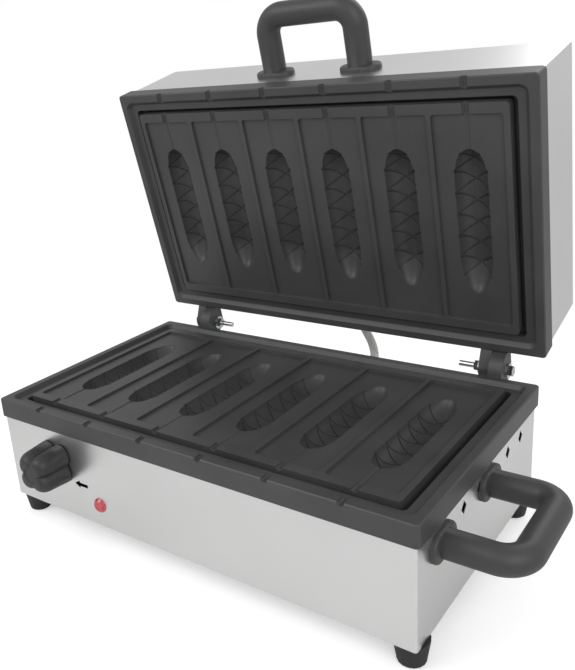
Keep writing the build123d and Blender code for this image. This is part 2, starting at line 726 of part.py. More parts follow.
def knob_outline():
    """Four-lobed outline of the knob, as tangent arcs."""
    lobe_away = KNOB_RADIUS - KNOB_LOBE_RADIUS
    half_pitch = pi / KNOB_LOBES
    lobe_along = lobe_away * cos(half_pitch)
    lobe_across = lobe_away * sin(half_pitch)
    inner = KNOB_WAIST - lobe_along
    dent = (inner**2 + lobe_across**2 - KNOB_LOBE_RADIUS**2) / (2 * (KNOB_LOBE_RADIUS - inner))
    angle = atan2(lobe_across, KNOB_WAIST + dent - lobe_along)
    meet_x = KNOB_WAIST + dent - dent * cos(angle)
    meet_y = dent * sin(angle)
    tip_x = KNOB_RADIUS * cos(half_pitch)
    tip_y = KNOB_RADIUS * sin(half_pitch)
    turn = Rot(0, 0, 360 / KNOB_LOBES)
    waist = ThreePointArc((meet_x, -meet_y), (KNOB_WAIST, 0), (meet_x, meet_y))
    next_meet = turn * Pos(meet_x, -meet_y)
    lobe = ThreePointArc((meet_x, meet_y), (tip_x, tip_y), next_meet.position)
    outline = Curve()
    for number in range(KNOB_LOBES):
        place = Rot(0, 0, 360 * number / KNOB_LOBES)
        outline += place * waist + place * lobe
    return make_face(outline)


def thermostat_screw_spots():
    """Screws of the thermostat, on either side of its shaft under the knob."""
    spot = KNOB_HOLLOW_RADIUS - SCREW_HEAD_ACROSS / sqrt(3) - KNOB_GAP
    return (-spot, spot)


def knob():
    """Lobed knob with its rear at z = 0, hollow behind and bare in front."""
    body = extrude(knob_outline(), KNOB_HEIGHT, taper=KNOB_DRAFT)
    body = chamfer(body.edges().group_by(Axis.Z)[-1], KNOB_EDGE)
    body -= rod(KNOB_HOLLOW_RADIUS, 0, KNOB_HOLLOW_DEPTH)
    body -= rod(KNOB_BADGE_RADIUS, KNOB_HEIGHT - KNOB_BADGE_DEPTH, KNOB_HEIGHT)
    body -= hidden_hole(SHAFT_RADIUS, 0, SHAFT_IN_KNOB)
    return to_base(front_place(KNOB_X, KNOB_DROP) * Pos(0, 0, KNOB_GAP) * body)


def shaft():
    """Thermostat shaft from inside its body out into the knob."""
    bar = rod(SHAFT_RADIUS, -BASE_SHEET - SHAFT_IN_BODY, KNOB_GAP + SHAFT_IN_KNOB)
    return to_base(front_place(KNOB_X, KNOB_DROP) * bar)


def thermostat():
    """Thermostat body behind the front wall."""
    back = -BASE_SHEET - THERMOSTAT_DEPTH
    body = slab(THERMOSTAT_WIDTH, THERMOSTAT_WIDTH, back, -BASE_SHEET)
    body -= rod(SHAFT_RADIUS + RUNNING_FIT, -BASE_SHEET - SHAFT_IN_BODY - 1, -BASE_SHEET)
    hole = hidden_hole(SCREW_RADIUS, back / 2, -BASE_SHEET)
    body -= [Pos(spot, 0, 0) * hole for spot in thermostat_screw_spots()]
    return to_base(front_place(KNOB_X, KNOB_DROP) * body)


def thermostat_screws():
    """Two screws through the front wall, hidden inside the knob."""
    place = front_place(KNOB_X, KNOB_DROP)
    screw = small_screw(THERMOSTAT_SCREW_LENGTH)
    return [to_base(spot * screw) for spot in along(place, thermostat_screw_spots())]


def sensing_bulb():
    """Bulb against the lower plate and its capillary down to the thermostat."""
    height = -CORE_BOTTOM - BULB_RADIUS - SOFT_GAP
    start = -ELEMENT_LENGTH / 2
    bulb = Pos(start, 0, height) * Rot(0, 90, 0) * hexagon(2 * BULB_RADIUS, 0, BULB_LENGTH)
    drop_x = -SHIELD_WIDTH / 2 - CAPILLARY_CLEAR
    low = height - CAPILLARY_CLEAR - CAPILLARY_RADIUS
    path = Polyline(
        (start, 0, height),
        (start - CAPILLARY_BEND, 0, low),
        (drop_x, 0, low),
        (drop_x, 0, -KNOB_DROP),
        (KNOB_X, FRONT_Y / 3, -KNOB_DROP),
        (KNOB_X, FRONT_Y + BASE_SHEET + THERMOSTAT_DEPTH, -KNOB_DROP),
    )
    section = Plane(path @ 0, z_dir=path % 0) * RegularPolygon(CAPILLARY_RADIUS, 6)
    return to_base(bulb + sweep(section, path, transition=Transition.RIGHT))


def pilot_lens():
    """Domed red lens on the front wall."""
    lens = rod(LAMP_RADIUS, 0, LAMP_DOME)
    lens = chamfer(lens.edges().group_by(Axis.Z)[-1], LAMP_EDGE)
    return to_base(front_place(LAMP_X, LAMP_DROP) * lens)


def pilot_body():
    """Lamp holder that passes through the front wall behind its lens."""
    stem = hexagon(2 * LAMP_STEM_RADIUS, -LAMP_LENGTH, 0)
    stem += hexagon(2 * LAMP_RADIUS, -BASE_SHEET - LAMP_COLLAR, -BASE_SHEET)
    return to_base(front_place(LAMP_X, LAMP_DROP) * stem)


def terminal_block():
    """Block on the bottom cover where the wiring meets."""
    width, depth, height = BLOCK_SIZE
    low = CASING_FOOT
    block = slab(width, depth, low, low + height / 2)
    block += slab(width, depth / 2, low, low + height)
    well = slab(BLOCK_WELL, BLOCK_WELL, low + height / 2, low + height)
    wells = [Pos(x * width / 4, 0, 0) * well for x in (-1, 0, 1)]
    return to_base(Pos(BLOCK_X, BLOCK_Y, 0) * (block - wells))


def foot():
    """Tapered rubber foot with a deep bore for its screw."""
    slope = degrees(atan2(FOOT_TOP_RADIUS - FOOT_BOTTOM_RADIUS, FOOT_HEIGHT))
    body = extrude(ring_section(FOOT_BOTTOM_RADIUS, FOOT_SIDES), FOOT_HEIGHT, taper=-slope)
    body = chamfer(body.edges().group_by(Axis.Z)[0], FOOT_EDGE)
    body -= hexagon(2 * FOOT_BORE_RADIUS, 0, FOOT_BORE_DEPTH)
    return body - hidden_hole(SCREW_RADIUS, 0, FOOT_HEIGHT)


def foot_screw():
    """Screw up through a foot into the casing."""
    length = FOOT_HEIGHT - FOOT_BORE_DEPTH + COVER_SHEET + BASE_SHEET + SCREW_END
    return Pos(0, 0, FOOT_BORE_DEPTH) * Rot(180, 0, 0) * small_screw(length)


def cover_screws():
    """Screws up through the bottom cover into the flange."""
    seat = Pos(0, 0, -COVER_SHEET) * Rot(180, 0, 0)
    screw = seat * small_screw(COVER_SHEET + BASE_SHEET + SCREW_END)
    return [to_base(place * screw) for place in cover_screw_places()]


def cord_gland():
    """Strain-relief gland in the rear wall with an open bore and no cord."""
    gland = hexagon(2 * GLAND_STEM_RADIUS, -GLAND_STEM, 0) + hexagon(2 * GLAND_RADIUS, 0, GLAND_COLLAR)
    gland += Pos(0, 0, GLAND_COLLAR) * extrude(Circle(GLAND_STEM_RADIUS), GLAND_STEM, taper=GLAND_TAPER)
    gland -= hexagon(2 * GLAND_BORE, -GLAND_STEM, GLAND_COLLAR + GLAND_STEM)
    return to_base(rear_place(GLAND_X, RIM_TOP - GLAND_Z) * gland)


def gland_nut():
    """Nut that holds the gland from inside the wall."""
    low = -BASE_SHEET - NUT_HEIGHT
    ring = hexagon(2 * GLAND_RADIUS, low, -BASE_SHEET) - hidden_hole(GLAND_STEM_RADIUS, low, -BASE_SHEET)
    return to_base(rear_place(GLAND_X, RIM_TOP - GLAND_Z) * ring)


def grommet(sheet):
    """Rubber ring that lines the hole of the lead, with a lip on both sides of the wall."""
    lip = extrude(ring_section(GROMMET_RADIUS, LEAD_SIDES), GROMMET_LIP)
    neck = extrude(ring_section(LEAD_RADIUS + GROMMET_LIP / 2, LEAD_SIDES), -sheet)
    bore = extrude(ring_section(LEAD_RADIUS + SOFT_GAP, LEAD_SIDES), CUTTER, both=True)
    return lip + neck + Pos(0, 0, -sheet - GROMMET_LIP) * lip - bore


def lead_path():
    """Route of the lead from inside the base to inside the open lid."""
    base_end = Vector(BASE_LEAD_X, REAR_Y - LEAD_INSIDE, RIM_TOP - LEAD_BASE_DROP)
    base_out = base_end + Vector(0, LEAD_INSIDE + LEAD_STRAIGHT, 0)
    lid_wall = LID_SWING * Pos(LID_LEAD_X, REAR_Y, RIM_TOP + PARTING_GAP + LEAD_LID_DROP)
    outward = Vector(0, 1, 0).rotate(Axis.X, -OPEN_ANGLE)
    lid_end = lid_wall.position - outward * LEAD_INSIDE
    lid_out = lid_wall.position + outward * LEAD_STRAIGHT
    corner = Vector(LEAD_CORNER_X, LEAD_CORNER_Y, base_end.Z + LEAD_CORNER_RISE)
    return FilletPolyline(base_end, base_out, corner, lid_out, lid_end, radius=LEAD_BEND)


def lead():
    """Sleeved lead that feeds the lid, loose behind the hinge."""
    return bent_bar(lead_path(), ring_section(LEAD_RADIUS, LEAD_SIDES), Vector(1, 0, 0))


def main():
    os.makedirs("parts", exist_ok=True)
    write("base_casing", base_casing())
    write("bottom_cover", bottom_cover())
    write("bottom_cover_screws", *cover_screws())
    write("lower_plate", lower_plate())
    write("lower_plate_screws", *[to_base(screw) for screw in plate_screws(BASE_SHEET)])
    write("lower_heating_element", to_base(element()))
    write("lower_clamp_bars", *[to_base(bar) for bar in clamp_bars()])
    write("lower_studs", *[to_base(stud) for stud in studs()])
    write("lower_stud_nuts", *[to_base(piece) for piece in stud_nuts()])
    write("lower_heat_shield", to_base(heat_shield()))
    for name, place in zip(("left_front", "left_rear", "right_front", "right_rear"), foot_places()):
        write(f"{name}_foot", place * foot())
    write("foot_screws", *[place * foot_screw() for place in foot_places()])
    right, left = hinge_hardware()
    write("hinge_bolts", right[0], left[0])
    write("hinge_washers", right[1], left[1])
    write("hinge_nuts", right[2], left[2])
    side_place = side_handle_place()
    write("side_handle", to_base(side_place * handle()))
    write("side_handle_screws", *[to_base(side_place * screw) for screw in handle_screws(BASE_SHEET)])
    write("thermostat_knob", knob())
    write("thermostat_shaft", shaft())
    write("thermostat_body", thermostat())
    write("thermostat_screws", *thermostat_screws())
    write("thermostat_sensing_bulb", sensing_bulb())
    write("pilot_lamp_lens", pilot_lens())
    write("pilot_lamp_body", pilot_body())
    write("terminal_block", terminal_block())
    write("power_cord_gland", cord_gland())
    write("power_cord_gland_nut", gland_nut())
    write("base_lead_grommet", to_base(rear_place(BASE_LEAD_X, LEAD_BASE_DROP) * grommet(BASE_SHEET)))
    write("lid_lead", lead())
    write("upper_plate", upper_plate())
    write("upper_plate_screws", *[to_lid(screw) for screw in plate_screws(LID_SHEET)])
    write("lid_cover", lid_cover())
    write("upper_heating_element", to_lid(element()))
    write("upper_clamp_bars", *[to_lid(bar) for bar in clamp_bars()])
    write("upper_studs", *[to_lid(stud) for stud in studs()])
    write("upper_stud_nuts", *[to_lid(piece) for piece in stud_nuts()])
    write("upper_heat_shield", to_lid(heat_shield()))
    write("lid_insulation", to_lid(insulation()))
    lid_place = lid_handle_place()
    write("lid_handle", to_lid(lid_place * handle()))
    write("lid_handle_screws", *[to_lid(lid_place * screw) for screw in handle_screws(LID_SHEET)])
    write("lid_lead_grommet", to_lid(rear_place(LID_LEAD_X, LEAD_LID_DROP) * grommet(LID_SHEET)))


main()
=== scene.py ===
import json
from math import cos, pi, radians, sin, sqrt

import bmesh
import bpy
from mathutils import Matrix, Vector


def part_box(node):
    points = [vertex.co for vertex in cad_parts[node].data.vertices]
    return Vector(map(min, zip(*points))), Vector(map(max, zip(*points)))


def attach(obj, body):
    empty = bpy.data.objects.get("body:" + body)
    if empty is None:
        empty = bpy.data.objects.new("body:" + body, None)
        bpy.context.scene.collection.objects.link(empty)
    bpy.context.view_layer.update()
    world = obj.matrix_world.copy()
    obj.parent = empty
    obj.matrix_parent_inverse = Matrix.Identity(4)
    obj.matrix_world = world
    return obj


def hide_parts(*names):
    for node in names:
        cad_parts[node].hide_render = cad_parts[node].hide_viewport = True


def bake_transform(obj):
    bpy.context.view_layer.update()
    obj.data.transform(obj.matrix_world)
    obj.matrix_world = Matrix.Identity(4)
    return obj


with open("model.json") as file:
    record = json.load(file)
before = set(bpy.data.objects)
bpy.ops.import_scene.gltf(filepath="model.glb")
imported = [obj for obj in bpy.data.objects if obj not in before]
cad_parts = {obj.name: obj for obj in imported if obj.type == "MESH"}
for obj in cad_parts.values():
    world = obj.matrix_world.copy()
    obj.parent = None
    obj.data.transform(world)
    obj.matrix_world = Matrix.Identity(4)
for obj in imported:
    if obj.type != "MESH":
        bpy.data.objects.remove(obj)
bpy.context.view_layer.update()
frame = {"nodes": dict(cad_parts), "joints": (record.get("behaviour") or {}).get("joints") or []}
nodes = frame["nodes"]

# Camera, fitted to the corners of both plates in the photograph
CAMERA_PLACE = Vector((0.44188, -0.59021, 0.46301))
CAMERA_RIGHT = Vector((0.78956, 0.60794, -0.08369))
CAMERA_UP = Vector((-0.13099, 0.30019, 0.94484))
CAMERA_FORWARD = Vector((-0.59953, 0.73505, -0.31666))
CAMERA_LENS = 42.04
CAMERA_SHIFT = (0.1015, -0.0205)

# Places worked out from the frame
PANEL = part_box("base_casing")
FRONT_Y = PANEL[0][1]
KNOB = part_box("thermostat_knob")
HINGE = next(joint for joint in frame["joints"] if joint["name"] == "lid_hinge")
OPEN_TURN = radians(HINGE["range_deg"][1])
HINGE_PLACE = Vector(HINGE["pos_m"])
HALF_GAP = 0.0003
RIM_TOP = HINGE_PLACE.z - HALF_GAP

# From a plate drawn face up with its rim top at zero, to the base and to the open lid
TO_BASE = Matrix.Translation((0, 0, RIM_TOP))
TO_SHUT_LID = Matrix.Translation((0, 0, RIM_TOP + 2 * HALF_GAP)) @ Matrix.Diagonal((1, 1, -1, 1))
OPEN_ROTATION = Matrix.Rotation(-OPEN_TURN, 4, "X")
SWING = Matrix.Translation(HINGE_PLACE) @ OPEN_ROTATION @ Matrix.Translation(-HINGE_PLACE)
TO_LID = SWING @ TO_SHUT_LID

# Cavities of the plates: distance along the plate and radius of the turned shape, in metres
CAVITY_COUNT = 6
CAVITY_AXIS = -0.00035
CAVITY_STEP = 0.0705
CAVITY_PROFILE = (
    (-0.0746, 0.0), (-0.0743, 0.0016), (-0.0735, 0.0034), (-0.0723, 0.0057), (-0.0705, 0.0080),
    (-0.0675, 0.0104), (-0.0635, 0.0126), (-0.0560, 0.0144), (-0.0475, 0.0158), (0.0455, 0.0158),
    (0.0530, 0.0141), (0.0600, 0.0118), (0.0675, 0.0092), (0.0708, 0.0071), (0.0735, 0.0046),
    (0.0747, 0.0025), (0.0752, 0.0),
)
GROOVE_DEPTH = 0.0012
GROOVE_WIDTH = 0.0016
CROSS_COUNT = 6
CROSS_FIRST = -0.063
CROSS_STEP = 0.022
CROSS_TURN = radians(56.3)
CROSS_LENGTH = 0.0385
CROSS_HEIGHT = 0.06
JOIN_DISTANCE = 2e-6
FLAT_ANGLE = 0.002

# Knob: clover of four round lobes on the diagonals, drawn out from the panel.
# The rings give distances inwards or radii, and then distances from the panel.
KNOB_SIDES = 160
KNOB_HEIGHT = 0.035
KNOB_TAPER = 0.10
LOBE_RADIUS = 0.0122
LOBE_AWAY = 0.0131
KNOB_STATIONS = (
    (0.0004, 0.0), (0.0, 0.0006), (0.0, 0.0245), (0.0003, 0.0272), (0.0012, 0.0300), (0.0026, 0.0323),
    (0.0044, 0.0339), (0.0062, 0.0347), (0.0078, 0.035),
)
KNOB_BACK = ((0.0031, 0.026), (0.0031, 0.006), (0.016, 0.006), (0.016, 0.0))
KNOB_DISH = ((0.0088, 0.035), (0.0085, 0.0347), (0.0082, 0.0344))

# Handles, drawn along X with the reach along Z
HANDLE_RADIUS = 0.0125
HANDLE_HALF_SPAN = 0.051
HANDLE_REACH = 0.0615
HANDLE_BEND = 0.020
HANDLE_SIDES = 40
HANDLE_BEND_STEPS = 16
HANDLE_FOOT = (0.022, 0.013, 0.005)
HANDLE_FOOT_SIDES = 48
HANDLE_FOOT_RINGS = ((0, 0), (0, 0.6), (0.06, 0.8), (0.16, 0.93), (0.3, 1.0))
LID_HANDLE_DROP = -0.054

# Lead between base and lid: the route's corners
LEAD_ROUTE = (
    (0.038, 0.130, 0.097), (0.038, 0.148, 0.097), (0.029, 0.219, 0.103), (0.008, 0.20228, 0.16054),
    (0.008, 0.19828, 0.17810),
)
LEAD_RADIUS = 0.005

# Printed arrow beside the knob
ARROW_GAP = 0.003
ARROW_HEIGHT = 0.0635
ARROW_LIFT = 0.00008
ARROW_EDGE = ((0, 0), (0.007, 0.0042), (0.007, 0.0018), (0.0185, 0.0018))

# Floor and card
FLOOR_HALF = 6.0
FLOOR_FADE = (0.34, 0.8)
CARD_CORNERS = ((2.2, -2.2, -0.2), (2.2, 2.2, -0.2), (2.2, 2.2, 2.4), (2.2, -2.2, 2.4))

# Lamps: name, place, target, size in metres, power in watts
LAMPS = (
    ("key", (-0.9, -1.3, 1.5), (0, 0, 0.2), 1.2, 13),
    ("fill", (1.4, -0.9, 1.1), (0, 0, 0.2), 1.2, 9),
    ("rear", (0.2, 1.5, 1.4), (0, 0.1, 0.2), 1.0, 6),
)


def make_material(name):
    """New node material and its principled shader."""
    material = bpy.data.materials.new(name)
    material.use_nodes = True
    return material, material.node_tree.nodes["Principled BSDF"]


def add_node(material, kind, **settings):
    """Add one shader node, with plain values on its sockets."""
    node = material.node_tree.nodes.new(kind)
    for socket, value in settings.items():
        node.inputs[socket.replace("_", " ")].default_value = value
    return node


def link(material, source, target):
    """Join two sockets of a material."""
    material.node_tree.links.new(source, target)


def place_texture(material, scale=(1, 1, 1), turn=(0, 0, 0)):
    """Coordinates in the object's own metres, stretched and turned."""
    coordinates = add_node(material, "ShaderNodeTexCoord")
    mapping = add_node(material, "ShaderNodeMapping")
    mapping.inputs["Scale"].default_value = scale
    mapping.inputs["Rotation"].default_value = turn
    link(material, coordinates.outputs["Object"], mapping.inputs["Vector"])
    return mapping.outputs["Vector"]


def noise(material, vector, scale, detail=3.0):
    """Soft noise over a vector, as a factor."""
    texture = add_node(material, "ShaderNodeTexNoise", Scale=scale, Detail=detail)
    link(material, vector, texture.inputs["Vector"])
    return texture.outputs["Fac"]


def ramp(material, factor, low, high, start=0.3, end=0.7):
    """Blend between two colours over a stretch of a factor."""
    node = add_node(material, "ShaderNodeValToRGB")
    node.color_ramp.elements[0].position = start
    node.color_ramp.elements[1].position = end
    node.color_ramp.elements[0].color = (*low, 1)
    node.color_ramp.elements[1].color = (*high, 1)
    link(material, factor, node.inputs["Fac"])
    return node.outputs["Color"]


def spread(material, factor, low, high):
    """Map a factor onto a range of plain values."""
    node = add_node(material, "ShaderNodeMapRange")
    node.inputs["To Min"].default_value = low
    node.inputs["To Max"].default_value = high
    link(material, factor, node.inputs["Value"])
    return node.outputs["Result"]


def bump(material, shader, height, strength, distance):
    """Fine relief on the surface, finer than any modelled shape."""
    node = add_node(material, "ShaderNodeBump", Strength=strength, Distance=distance)
    link(material, height, node.inputs["Height"])
    link(material, node.outputs["Normal"], shader.inputs["Normal"])


def steel(name, colour, grain_turn, rough_low=0.26, rough_high=0.36):
    """Satin stainless sheet with fine brushing along one direction."""
    material, shader = make_material(name)
    lines = noise(material, place_texture(material, (6, 6, 900), grain_turn), 1.0, 3.0)
    clouds = noise(material, place_texture(material, (1, 1, 1)), 7.0, 2.0)
    dark = [0.95 * channel for channel in colour]
    link(material, ramp(material, clouds, dark, colour), shader.inputs["Base Color"])
    link(material, spread(material, lines, rough_low, rough_high), shader.inputs["Roughness"])
    shader.inputs["Metallic"].default_value = 1.0
    bump(material, shader, lines, 0.03, 0.0001)
    return material


def soften(material, radius):
    """Round the shading of edges, under any bump."""
    rounded = add_node(material, "ShaderNodeBevel", Radius=radius)
    for node in material.node_tree.nodes:
        if node.bl_idname == "ShaderNodeBump":
            link(material, rounded.outputs["Normal"], node.inputs["Normal"])
    return material


def cast_coating(name, colour):
    """Dark non-stick coating over a sand casting."""
    material, shader = make_material(name)
    grain = noise(material, place_texture(material), 950.0, 4.0)
    clouds = noise(material, place_texture(material), 14.0, 4.0)
    light = [1.35 * channel for channel in colour]
    link(material, ramp(material, clouds, colour, light, 0.35, 0.75), shader.inputs["Base Color"])
    link(material, spread(material, clouds, 0.4, 0.52), shader.inputs["Roughness"])
    bump(material, shader, grain, 0.22, 0.0004)
    return material


def moulded(name, colour, rough_low, rough_high, grain_scale=1400.0, depth=0.0002):
    """Moulded plastic or rubber with a fine grain."""
    material, shader = make_material(name)
    grain = noise(material, place_texture(material), grain_scale, 2.0)
    clouds = noise(material, place_texture(material), 30.0, 3.0)
    light = [1.2 * channel for channel in colour]
    link(material, ramp(material, clouds, colour, light), shader.inputs["Base Color"])
    link(material, spread(material, clouds, rough_low, rough_high), shader.inputs["Roughness"])
    bump(material, shader, grain, 0.25, depth)
    return material


def plated(name, colour, rough_low=0.18, rough_high=0.36):
    """Bright plated hardware with light handling marks."""
    material, shader = make_material(name)
    marks = noise(material, place_texture(material), 260.0, 5.0)
    dark = [0.8 * channel for channel in colour]
    link(material, ramp(material, marks, dark, colour), shader.inputs["Base Color"])
    link(material, spread(material, marks, rough_low, rough_high), shader.inputs["Roughness"])
    shader.inputs["Metallic"].default_value = 1.0
    bump(material, shader, marks, 0.1, 0.0001)
    return material


def lens_red():
    """Red lamp lens with moulded facets inside."""
    material, shader = make_material("lamp_red")
    cells = add_node(material, "ShaderNodeTexVoronoi", Scale=520.0)
    link(material, place_texture(material), cells.inputs["Vector"])
    red = ramp(material, cells.outputs["Distance"], (0.62, 0.10, 0.12), (0.42, 0.02, 0.035), 0.1, 0.9)
    link(material, red, shader.inputs["Base Color"])
    shader.inputs["Roughness"].default_value = 0.12
    shader.inputs["Coat Weight"].default_value = 0.6
    bump(material, shader, cells.outputs["Distance"], 0.35, 0.0005)
    return material


def braided(name, colour):
    """Woven sleeve over the lead."""
    material, shader = make_material(name)
    first = add_node(material, "ShaderNodeTexWave", Scale=260.0, Distortion=0.6)
    second = add_node(material, "ShaderNodeTexWave", Scale=260.0, Distortion=0.6)
    link(material, place_texture(material, turn=(0.8, 0.6, 0.4)), first.inputs["Vector"])
    link(material, place_texture(material, turn=(-0.8, 0.6, -0.4)), second.inputs["Vector"])
    weave = add_node(material, "ShaderNodeMath")
    weave.operation = "MAXIMUM"
    link(material, first.outputs["Fac"], weave.inputs[0])
    link(material, second.outputs["Fac"], weave.inputs[1])
    dark = [0.62 * channel for channel in colour]
    threads = ramp(material, weave.outputs["Value"], dark, colour, 0.1, 0.8)
    link(material, threads, shader.inputs["Base Color"])
    shader.inputs["Roughness"].default_value = 0.6
    bump(material, shader, weave.outputs["Value"], 0.4, 0.0004)
    return material


def fibre():
    """Pale ceramic-fibre blanket."""
    material, shader = make_material("fibre_blanket")
    tufts = noise(material, place_texture(material), 120.0, 6.0)
    cream = ramp(material, tufts, (0.62, 0.60, 0.52), (0.82, 0.80, 0.72))
    link(material, cream, shader.inputs["Base Color"])
    shader.inputs["Roughness"].default_value = 0.95
    bump(material, shader, tufts, 0.6, 0.003)
    return material


def paint(material, *names):
    """Give CAD nodes a finished material."""
    for name in names:
        data = nodes[name].data
        if not data.materials:
            data.materials.append(material)
        for index in range(len(data.materials)):
            data.materials[index] = material


def dress_frame():
    """Finish every CAD node."""
    paint(steel("stainless_base", (0.80, 0.80, 0.795), (0, 0, 0)), "base_casing")
    lid_turn = (OPEN_TURN, 0, 0)
    paint(steel("stainless_lid", (0.80, 0.80, 0.795), lid_turn), "lid_cover")
    paint(steel("plain_sheet", (0.62, 0.62, 0.62), (0, 0, 0), 0.3, 0.45), "bottom_cover")
    shield = steel("shield_sheet", (0.66, 0.65, 0.62), (0, 0, 0), 0.3, 0.5)
    paint(shield, "lower_heat_shield", "upper_heat_shield")
    feet = ["left_front_foot", "left_rear_foot", "right_front_foot", "right_rear_foot"]
    rubber = moulded("foot_rubber", (0.016, 0.016, 0.016), 0.55, 0.7, 900.0)
    paint(rubber, *feet, "base_lead_grommet", "lid_lead_grommet")
    gland = moulded("gland_moulding", (0.02, 0.02, 0.02), 0.4, 0.5)
    paint(gland, "power_cord_gland", "power_cord_gland_nut")
    zinc = plated("zinc_plating", (0.66, 0.67, 0.68))
    paint(zinc, "hinge_bolts", "hinge_washers", "hinge_nuts", "thermostat_shaft")
    paint(zinc, "lower_studs", "upper_studs", "lower_stud_nuts", "upper_stud_nuts")
    paint(plated("clamp_steel", (0.5, 0.5, 0.5), 0.3, 0.5), "lower_clamp_bars", "upper_clamp_bars")
    screws = [name for name in nodes if name.endswith("_screws")]
    paint(plated("screw_plating", (0.6, 0.6, 0.6)), *screws)
    sheath = plated("element_sheath", (0.22, 0.2, 0.18), 0.4, 0.6)
    paint(sheath, "lower_heating_element", "upper_heating_element")
    paint(plated("copper_tube", (0.7, 0.36, 0.22)), "thermostat_sensing_bulb")
    paint(moulded("cream_moulding", (0.6, 0.56, 0.46), 0.4, 0.5), "thermostat_body", "terminal_block")
    paint(moulded("lamp_holder", (0.4, 0.4, 0.4), 0.4, 0.5), "pilot_lamp_body")
    paint(lens_red(), "pilot_lamp_lens")
    paint(fibre(), "lid_insulation")


def new_piece(name, mesh, body, material, smooth_under=None):
    """Add a finished mesh that rides on a body."""
    piece = bpy.data.objects.new(name, mesh)
    bpy.context.collection.objects.link(piece)
    piece.data.materials.clear()
    piece.data.materials.append(material)
    if smooth_under is not None:
        mesh.set_sharp_from_angle(angle=radians(smooth_under))
    if body:
        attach(piece, body)
    return piece


def to_mesh(shape, name, smooth=None):
    """Close a bmesh into a mesh with its faces turned outwards."""
    bmesh.ops.recalc_face_normals(shape, faces=shape.faces[:])
    if smooth is not None:
        for face in shape.faces:
            face.smooth = smooth
    mesh = bpy.data.meshes.new(name)
    shape.to_mesh(mesh)
    shape.free()
    return mesh


def evaluated_mesh(item):
    """Mesh of an object as its modifiers or curve settings leave it."""
    return bpy.data.meshes.new_from_object(item.evaluated_get(bpy.context.evaluated_depsgraph_get()))


def combine(mesh, tool, operation):
    """Boolean of two closed meshes, as a new mesh."""
    pair = [bpy.data.objects.new("first", mesh), bpy.data.objects.new("second", tool)]
    for item in pair:
        bpy.context.collection.objects.link(item)
    modifier = pair[0].modifiers.new("combine", "BOOLEAN")
    modifier.solver = "MANIFOLD"
    modifier.operation = operation
    modifier.object = pair[1]
    result = evaluated_mesh(pair[0])
    for item in pair:
        bpy.data.objects.remove(item)
    return result


def copies(mesh, places):
    """One mesh with a copy of another at each place."""
    shape = bmesh.new()
    for place in places:
        placed = mesh.copy()
        placed.transform(place)
        shape.from_mesh(placed)
        bpy.data.meshes.remove(placed)
    return to_mesh(shape, mesh.name)


def round_ring(shape, radius, along, sides):
    """Ring of corners round the Y axis."""
    angles = [2 * pi * step / sides for step in range(sides)]
    return [shape.verts.new((radius * sin(a), along, radius * cos(a))) for a in angles]


def skin(shape, rings):
    """Join rings of equal length into a surface with a face over each end."""
    for first, second in zip(rings, rings[1:]):
        for step in range(len(first)):
            after = (step + 1) % len(first)
            shape.faces.new((first[step], first[after], second[after], second[step]))
    shape.faces.new(rings[0])
    shape.faces.new(rings[-1])


def turned_shape(name, profile, grown=0.0, sides=64):
    """Closed shape turned round the Y axis from distances and radii."""
    shape = bmesh.new()
    rings = []
    for along, radius in profile:
        radius += grown if radius else 0.0
        if radius == 0.0:
            shift = grown if along > 0 else -grown
            rings.append([shape.verts.new((0, along + shift, 0))] * sides)
            continue
        rings.append(round_ring(shape, radius, along, sides))
    for first, second in zip(rings, rings[1:]):
        for step in range(sides):
            after = (step + 1) % sides
            corners = (first[step], first[after], second[after], second[step])
            shape.faces.new(list(dict.fromkeys(corners)))
    return to_mesh(shape, name, True)


def slanted_bars(side):
    """Parallel upright bars that cross one cavity."""
    shape = bmesh.new()
    turn = Matrix.Rotation(side * CROSS_TURN, 4, "Z")
    size = Matrix.Diagonal((GROOVE_WIDTH, CROSS_LENGTH, CROSS_HEIGHT, 1))
    for number in range(CROSS_COUNT):
        place = Matrix.Translation((0, CROSS_FIRST + number * CROSS_STEP, 0)) @ turn
        bmesh.ops.create_cube(shape, size=1.0, matrix=place @ size)
    return to_mesh(shape, "bars", False)


def closed_copy(name):
    """Copy of a CAD node's mesh with its shared corners joined."""
    source = nodes[name].data
    plain = bpy.data.meshes.new(name)
    corners = [vertex.co[:] for vertex in source.vertices]
    plain.from_pydata(corners, [], [face.vertices[:] for face in source.polygons])
    shape = bmesh.new()
    shape.from_mesh(plain)
    bmesh.ops.remove_doubles(shape, verts=shape.verts[:], dist=JOIN_DISTANCE)
    bmesh.ops.dissolve_limit(shape, angle_limit=FLAT_ANGLE, verts=shape.verts[:], edges=shape.edges[:])
    return to_mesh(shape, name + "_finish", False)


def finished_plates():
    """Cast plates with smooth cavities and the crossed grooves in them."""
    coating = soften(cast_coating("plate_coating", (0.046, 0.046, 0.047)), 0.0007)
    spindle = turned_shape("spindle", CAVITY_PROFILE)
    wide = turned_shape("wide_spindle", CAVITY_PROFILE, GROOVE_DEPTH)
    grooves = [combine(wide.copy(), slanted_bars(side), "INTERSECT") for side in (-1, 1)]
    steps = [number - (CAVITY_COUNT - 1) / 2 for number in range(CAVITY_COUNT)]
    spots = [Matrix.Translation((step * CAVITY_STEP, 0, CAVITY_AXIS)) for step in steps]
    for name, body, place in (("lower_plate", "base", TO_BASE), ("upper_plate", "lid", TO_LID)):
        mesh = closed_copy(name)
        for cutter in (spindle, *grooves):
            mesh = combine(mesh, copies(cutter, [place @ spot for spot in spots]), "DIFFERENCE")
        plate = new_piece(name + "_finish", mesh, body, coating, 32)
        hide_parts(name)


